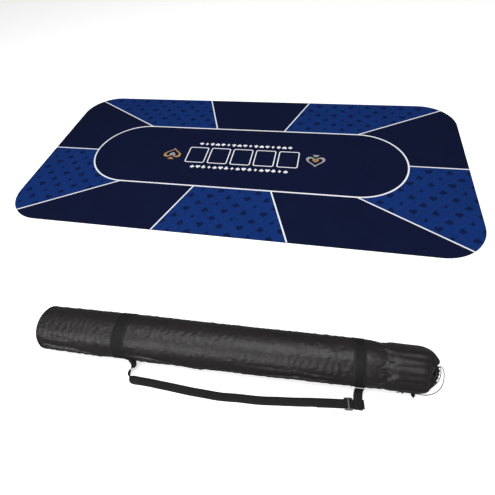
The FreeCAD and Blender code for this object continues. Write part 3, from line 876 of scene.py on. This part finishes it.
def bag_cloth():
    grid, folds, sections = creased_cloth()
    start = to_row_frame(floored(grid, LOWEST))
    folds = folds @ np.array(BAG)[:3, :3].T
    places = [s[0] * MM for s in sections]
    rows = [[Vector(p) for p in row] for row in start]
    mesh = woven("bag_cloth", rows, places, ROUND_PLACES, ring=True)
    face_out(mesh)
    owner = made_object("bag_cloth", mesh, "bag", ["bag_tube", "bag_mouth"], material=NYLON)
    kept = start.reshape(-1, 3)
    held = np.array([[max(seam_pull(s[0]) ** 2, smooth_step(945, 990, s[0]))] * ROUND
                     for s in sections])
    moved = settled(owner, held.ravel()) - kept
    far = np.linalg.norm(moved, axis=1, keepdims=True)
    kept = kept + moved * np.minimum(1, MOST_MOVED / np.maximum(far, 1e-9))
    kept = floored(kept + folds.reshape(-1, 3), SETTLED_LOWEST)
    owner.data.vertices.foreach_set("co", kept.ravel())
    owner.data.update()
    mesh = finished(owner)
    tree = BVHTree.FromPolygons([v.co for v in mesh.vertices], [p.vertices[:] for p in mesh.polygons])
    finished(owner, CLOTH_THICK)
    return tree


cloth_tree = bag_cloth()


def on_cloth(x, angle, lift):
    """A point lift mm over the bag's cloth, at x along the bag and an angle round it."""
    way = Vector((0, cos(angle), sin(angle)))
    axis = Vector((x, 0, BAG_AXIS))
    hit = cloth_tree.ray_cast(BAG @ axis, (BAG.to_3x3() @ way).normalized())
    reach = hit[3] / MM if hit[0] is not None else BAG_RADIUS
    point = axis + way * (reach + lift)
    point.z = max(point.z, FLOOR_GAP)
    return BAG @ point


def on_top(x, angle, lift):
    """The same point, and the way out of the cloth there."""
    spot = on_cloth(x, angle, lift)
    return spot, (spot - on_cloth(x, angle, 0)).normalized()


# --- webbing strips and stitches ---
def strip(name, count, wide, thick, place, loop=False):
    """A woven strip; place(k, across, up) gives its points, k along it, the rest in millimetres."""
    half, lip = wide / 2, 0.35
    over = [(-half + lip, thick), (-half / 2, thick), (0, thick), (half / 2, thick), (half - lip, thick)]
    section = [(-half, thick / 2)] + over + [(half, thick / 2)] + [(c, 0) for c, _ in reversed(over)]
    rows = [[place(k, across, up) for across, up in section] for k in range(count)]
    middle = [row[3] for row in rows]
    along = lengths(middle + middle[:1])
    round_section = [Vector(p) for p in section + section[:1]]
    mesh = woven(name, rows, along, [r * MM for r in lengths(round_section)], ring=True, loop=loop)
    face_out(mesh, 0 if loop else len(section))
    return mesh


def stitches(name, body, marks, thick=0.9):
    """Short lengths of thread, each lying from one point to another, in metres."""
    points, faces = [], []
    for start, end, up in marks:
        way = (end - start).normalized()
        side = way.cross(up).normalized()
        first = len(points)
        for share, reach in ((0, 0.35), (0.18, 1), (0.82, 1), (1, 0.35)):
            centre = start.lerp(end, share)
            for k in range(6):
                a = k * pi / 3
                points.append(centre + (side * cos(a) + up * sin(a)) * (reach * thick / 2 * MM))
        for ring in range(3):
            for k in range(6):
                a, b = first + ring * 6 + k, first + ring * 6 + (k + 1) % 6
                faces.append((a, b, b + 6, a + 6))
        faces += [tuple(first + k for k in range(6)), tuple(first + 18 + k for k in range(6))]
    mesh = mesh_of(name, points, faces)
    face_out(mesh)
    return made_object(name, mesh, body, material=THREAD)


def stitch_line(place, start, end, pitch=7.0, long=4.6):
    """Marks for a row of stitches; place(s) gives the point and the way up, s mm along the row."""
    marks, s = [], start
    while s + long < end:
        (one, up), (two, _) = place(s), place(s + long)
        marks.append((one, two, up))
        s += pitch
    return marks


# --- bands, end seam and end panel ---
BAND_THICK = 1.0


def band_x(centre, angle):
    """The left band is sewn on askew, with its top nearer the mouth; the right one sits a little back."""
    return centre + 4.5 * (1 + sin(angle)) if centre == LEFT_BAND[0] else centre - 2


def band(name, centre, wide, node):
    turns = around(120)

    def place(k, across, up):
        a = turns[k]
        wave = 0.5 * sin(5 * a + centre) + 0.3 * sin(11 * a)
        return on_cloth(band_x(centre, a) + across + wave, a, up - 0.1)

    mesh = strip(name, len(turns), wide, BAND_THICK, place, loop=True)
    made_object(name, mesh, "bag", [node], material=WEBBING)
    marks = []
    for side in (-1, 1):
        def row(s, side=side):
            a = s / (BAG_RADIUS + 2)
            return on_top(band_x(centre, a) + side * (wide / 2 - 2.4), a, BAND_THICK + 0.1)
        marks += stitch_line(row, 0, 2 * pi * (BAG_RADIUS + 2))
    stitches(name + "_stitches", "bag", marks)


band("bag_band_left", *LEFT_BAND, "band_left")
band("bag_band_right", *RIGHT_BAND, "band_right")


def end_seam():
    """The piped seam that joins the end panel to the tube."""
    turns = around(150)

    def place(k, across, up):
        a = turns[k]
        gather = 0.22 * sin(40 * a + sin(3 * a))
        return on_cloth(max(40.6, 43 + across * 0.8), a, up - 0.3 + gather) - BAG.to_3x3() @ Vector(
            (1.6 - across * 0.2, 0, 0))

    piping = strip("end_piping", len(turns), 5, 1.3, place, loop=True)
    made_object("end_piping", piping, "bag", ["end_seam"], material=NYLON)


end_seam()


def end_panel():
    """The round end: slack cloth with its rim turned over, puckered where it is sewn."""
    turned, flat = 8.0, 51.0
    profile = [(r, 0.0) for r in (0.4, 6, 13, 20, 27, 34, 40, 45, 49)]
    profile += [(flat + turned * sin(t), turned * (1 - cos(t)))
                for t in (radians(15 * k) for k in range(7))]
    rows = []
    for reach, depth in profile:
        row = []
        for a in around(ROUND):
            slack = 1.6 * noise.noise(Vector((reach * cos(a) / 21, reach * sin(a) / 21, 3)))
            pucker = sin(27 * a + sin(4 * a)) * smooth_step(33, 54, reach)
            x = TUBE_START - turned + depth + slack * smooth_step(58, 40, reach) + 0.45 * pucker
            r = reach * (1 + 0.006 * sin(3 * a + 1)) + 0.3 * pucker * smooth_step(50, 57, reach)
            row.append(BAG @ Vector((x, r * cos(a), max(LOWEST, BAG_AXIS + r * sin(a)))))
        rows.append(row)
    along = lengths([row[0] for row in rows])
    mesh = woven("bag_end", rows, along, ROUND_PLACES, ring=True)
    face_out(mesh)
    owner = made_object("bag_end", mesh, "bag", ["bag_end_panel"], material=NYLON)
    finished(owner, CLOTH_THICK)


end_panel()


# --- mouth: gathered hem and eyelet ---
def gathered_hem():
    """The cord's channel, ruffled by the cord drawn up in it."""
    turns, rings = 204, 14
    rows = []
    for i in range(turns):
        a = 2 * pi * i / turns
        phase = pleat_phase(a)
        ruffle = abs(sin(phase / 2)) - 0.6 + 0.18 * sin(2 * phase)
        calm = smooth_step(0.2, 0.42, min(a, 2 * pi - a))
        row = []
        for j in range(rings):
            b = 2 * pi * j / rings
            fat = HEM_TUBE - 0.25 + calm * (0.85 * ruffle + 0.25 * sin(3 * b + 5 * a))
            reach, out = HEM_RING + fat * cos(b), fat * sin(b) + 0.5 * calm * sin(4 * a)
            across = reach * cos(a)
            if calm < 1:
                across = min(across, EYELET_REACH + 0.05)
            row.append(HEM @ Vector((across, reach * sin(a), out)))
        rows.append(row)
    mesh = woven("gathered_hem", rows, [k / turns * 0.11 for k in range(turns + 1)],
                 [k / rings * 0.031 for k in range(rings + 1)], ring=True, loop=True)
    face_out(mesh)
    owner = made_object("gathered_hem", mesh, "bag", ["mouth_hem"], material=NYLON)
    finished(owner)


gathered_hem()


def rolled_eyelet():
    """A pressed eyelet: a rolled lip round the hole, over a thin flange."""
    profile = [(2.6, -0.6), (2.6, 0.5), (2.72, 0.82), (3.0, 1.0), (3.35, 0.95), (3.6, 0.7), (3.9, 0.55),
               (4.1, 0.35), (4.1, 0.0), (2.95, -0.05), (2.9, -0.6)]
    rows = [[HEM @ Vector((EYELET_REACH + out, r * cos(a), r * sin(a))) for r, out in profile]
            for a in around(48)]
    mesh = woven("rolled_eyelet", rows, range(49), range(len(profile) + 1), ring=True, loop=True)
    face_out(mesh)
    made_object("rolled_eyelet", mesh, "bag", ["cord_eyelet"], material=EYELET)


rolled_eyelet()


# --- strap ---
WEB = 22.0
LEFT_TAB, RIGHT_TAB = 285.0, 882.0
LOWER, UPPER = 2.4, 4.8
TAIL, TURN_END = -78, 37
RAMP_START, RAMP_END = -130, -85
RUN_START, RUN_LEVEL, RUN_BEND, RUN_SWING = -520, -190, 1500, radians(9)
ON_FLOOR = 0.75
FOLD_REACH = 0.52


def patch(name, start, lift, node):
    """A strap end sewn flat on the bag's side."""
    turns = [radians(181.5 + 28.5 * k / 30) for k in range(31)]

    def place(k, across, up):
        return on_cloth(start + WEB / 2 + across, turns[k], lift + up)

    mesh = strip(name, len(turns), WEB, 1.0, place)
    made_object(name, mesh, "bag", [node], material=WEBBING)


patch("strap_end_left", LEFT_TAB, 1.0, "anchor_left")
patch("strap_end_right", RIGHT_TAB, 1.1, "anchor_right")


def zigzag(name, body, spots, thick, node):
    """Zigzag stitches that hold webbing, through spots of (point, way up)."""
    marks = [(one, two, up) for (one, up), (two, _) in zip(spots, spots[1:])]
    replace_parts(stitches(name, body, marks, thick), node)


def end_spots(start, lift):
    return [on_top(start + 2.5 + 17 * k / 24, radians(206.8 if k % 2 else 204.2), lift)
            for k in range(25)]


zigzag("zigzag_left", "bag", end_spots(LEFT_TAB, 2.15), 0.7, "bartack_left")
zigzag("zigzag_right", "bag", end_spots(RIGHT_TAB, 2.25), 0.7, "bartack_right")


def ribbon(name, stations, node_names):
    """Webbing that hangs from the bag, through stations of (point, direction across it), in metres."""
    points = [s[0] for s in stations]
    frames = []
    for k, (point, side) in enumerate(stations):
        way = (points[min(k + 1, len(points) - 1)] - points[max(k - 1, 0)]).normalized()
        side = (side - way * side.dot(way)).normalized()
        frames.append((point, side, side.cross(way)))

    def place(k, across, up):
        point, side, over = frames[k]
        return point + side * (across * MM) + over * ((up - 0.5) * MM)

    mesh = strip(name, len(frames), WEB, 1.0, place)
    made = made_object(name, mesh, None, node_names, material=WEBBING)
    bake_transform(made)


def dense(stations, steps):
    """Stations of six numbers, place and side, smoothed to steps times as many."""
    found = []
    for k in range((len(stations) - 1) * steps + 1):
        values = spline_at(stations, k / steps)
        found.append((Vector(values[:3]), Vector(values[3:6])))
    return found


def half_turn(at, low, high, way=1, steps=10):
    """Points of (place, height) round a bend that starts high, swells along way and ends low."""
    reach = (high - low) / 2
    return [(at + way * reach * sin(a), low + reach * (1 + cos(a)))
            for a in (pi * k / steps for k in range(1, steps))]


def strap_route():
    """From the left end sewn to the bag, twisted down to the floor, along it, and round the loop."""
    hang = [(296, -57.0, 36, 1, 0, 0), (296, -57.8, 27, 1, 0, 0), (295.5, -60, 18.5, 0.97, -0.1, 0.2),
            (293.5, -66, 12.5, 0.75, -0.05, 0.65), (291, -75, 11.2, 0.3, 0, 0.95),
            (290.2, -84, 11.0, 0.1, 0.05, 1), (292.5, -92, 10.2, 0, 0.2, 0.98),
            (299, -96.8, 7.6, 0, 0.62, 0.78), (308, -98.4, 4.0, 0, 0.93, 0.36),
            (320, -98.2, 1.6, 0, 1, 0.08), (334, -98.3, 0.8, 0, 1, 0)]
    found = [(BAG @ p, BAG.to_3x3() @ side) for p, side in dense(hang, 4)]
    straight_from = RUN_LEVEL - RUN_BEND * sin(RUN_SWING)
    run = []
    for x in np.linspace(RUN_START, RAMP_END, 88):
        slope = min(RUN_SWING, asin(max(0.0, (RUN_LEVEL - x) / RUN_BEND)))
        y = RUN_BEND * (1 - cos(slope)) + max(0.0, straight_from - x) * tan(RUN_SWING)
        free = smooth_step(RUN_START, RUN_START + 40, x) * smooth_step(-140, RUN_LEVEL, x)
        y += free * 1.4 * noise.noise(Vector((x / 60, 1, 2)))
        high = ON_FLOOR + free * 1.3 * max(0.0, noise.noise(Vector((x / 45, 7, 2))))
        high += (UPPER - ON_FLOOR) * smooth_step(RAMP_START - 6, RAMP_END, x)
        tilt = free * 0.05 * noise.noise(Vector((x / 50, 3, 9)))
        run.append((Vector((x, y, high)), Vector((sin(slope), cos(slope), tilt))))
    flat = [(x, UPPER) for x in np.linspace(RAMP_END + 6, TURN_END, 20)]
    flat += half_turn(TURN_END, LOWER, UPPER)
    flat += [(x, LOWER) for x in np.linspace(TURN_END, TAIL + 0.6, 26)]
    flat += half_turn(TAIL + 0.6, LOWER - 2 * FOLD_REACH, LOWER, -1, 6)
    flat += [(x, LOWER - 1.05) for x in np.linspace(TAIL + 1, TAIL + 11, 6)]
    run += [(Vector((x, 0, z)), Vector((0, 1, 0))) for x, z in flat]
    turn = STRAP.to_3x3()
    return found + [(STRAP @ p, turn @ s) for p, s in run]


ribbon("strap_long", strap_route(), ["strap_webbing", "strap_left_tab", "tail_hem"])


def loop_route():
    """The right end: down from the bag, out over the strap's turn, and back under it."""
    high, low, far = UPPER + 1.2, LOWER + 1.2, -97.0
    route = [(-57.0, 36), (-57.0, 26), (-57.2, 19), (-59, 12.5), (-63, 8.2), (-69, 6.4), (-76, high)]
    route += [(y, high) for y in np.linspace(-80, far, 8)] + half_turn(far, low, high, -1)
    route += [(y, low) for y in np.linspace(far, -64, 12)]
    side = BAG.to_3x3() @ Vector((1, 0, 0))
    return [(BAG @ Vector((RIGHT_TAB + WEB / 2, y, z)), side) for y, z in route]


ribbon("strap_loop", loop_route(), ["strap_right_tab"])


LOOP_SPOTS = [(BAG @ Vector((RIGHT_TAB + 2.5 + 0.85 * k, -66.45 if k % 2 else -69.05, UPPER + 1.8)),
               Vector((0, 0, 1))) for k in range(21)]
zigzag("loop_zigzag", "strap", LOOP_SPOTS, 0.6, "tab_bartack")


# --- stage and light ---
def stage():
    size = 14.0
    mesh = mesh_of("floor", [(x * size, y * size, -0.0004) for x, y in ((-1, -1), (1, -1), (1, 1), (-1, 1))],
                   [(0, 1, 2, 3)])
    floor = in_scene("floor", mesh)
    # the white sweep is seen, but throws no light up at the object
    floor.visible_diffuse = floor.visible_glossy = False
    paper = Material("studio_floor", (0.8, 0.8, 0.8), Roughness=0.95, Specular_IOR_Level=0.0,
                     Emission_Color=(1, 1, 1, 1), Emission_Strength=0.55)
    mesh.materials.append(paper.made)


def softbox(name, at, aim, size, power):
    light = bpy.data.lights.new(name, "AREA")
    light.shape = "RECTANGLE"
    light.size, light.size_y = size
    light.energy = power
    made = in_scene(name, light)
    made.location = at
    made.rotation_euler = (Vector(aim) - Vector(at)).to_track_quat("-Z", "Y").to_euler()


def lights():
    world = bpy.data.worlds.new("studio")
    world.use_nodes = True
    world.node_tree.nodes["Background"].inputs["Color"].default_value = (1, 1, 1, 1)
    world.node_tree.nodes["Background"].inputs["Strength"].default_value = 0.22
    bpy.context.scene.world = world
    softbox("overhead", (0.2, -0.9, 3.1), (0.1, -0.4, 0), (3.0, 2.0), 90)
    softbox("front", (-0.5, -2.7, 1.1), (0.1, -0.9, 0.05), (2.4, 0.4), 33)


stage()
lights()
bpy.context.scene.view_settings.view_transform = "Standard"


def finish_of(node, material, edge=None):
    """A CAD part as it is, with its real material and its edges broken."""
    shown = nodes[node]
    shown.data.materials.clear()
    shown.data.materials.append(material)
    if edge:
        broken = shown.modifiers.new("broken_edges", "BEVEL")
        broken.width = edge * MM
        broken.segments = 3
        broken.limit_method = "ANGLE"
        broken.angle_limit = radians(40)
        broken.harden_normals = True


finish_of("mat_base", RUBBER)
finish_of("lock_spring", SPRING)
finish_of("strap_slider", SLIDER, 0.45)
finish_of("lock_barrel", LOCK_PLASTIC, 0.5)
finish_of("lock_plunger", LOCK_PLASTIC, 0.4)

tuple(strand_a[1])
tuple(strand_b[1])
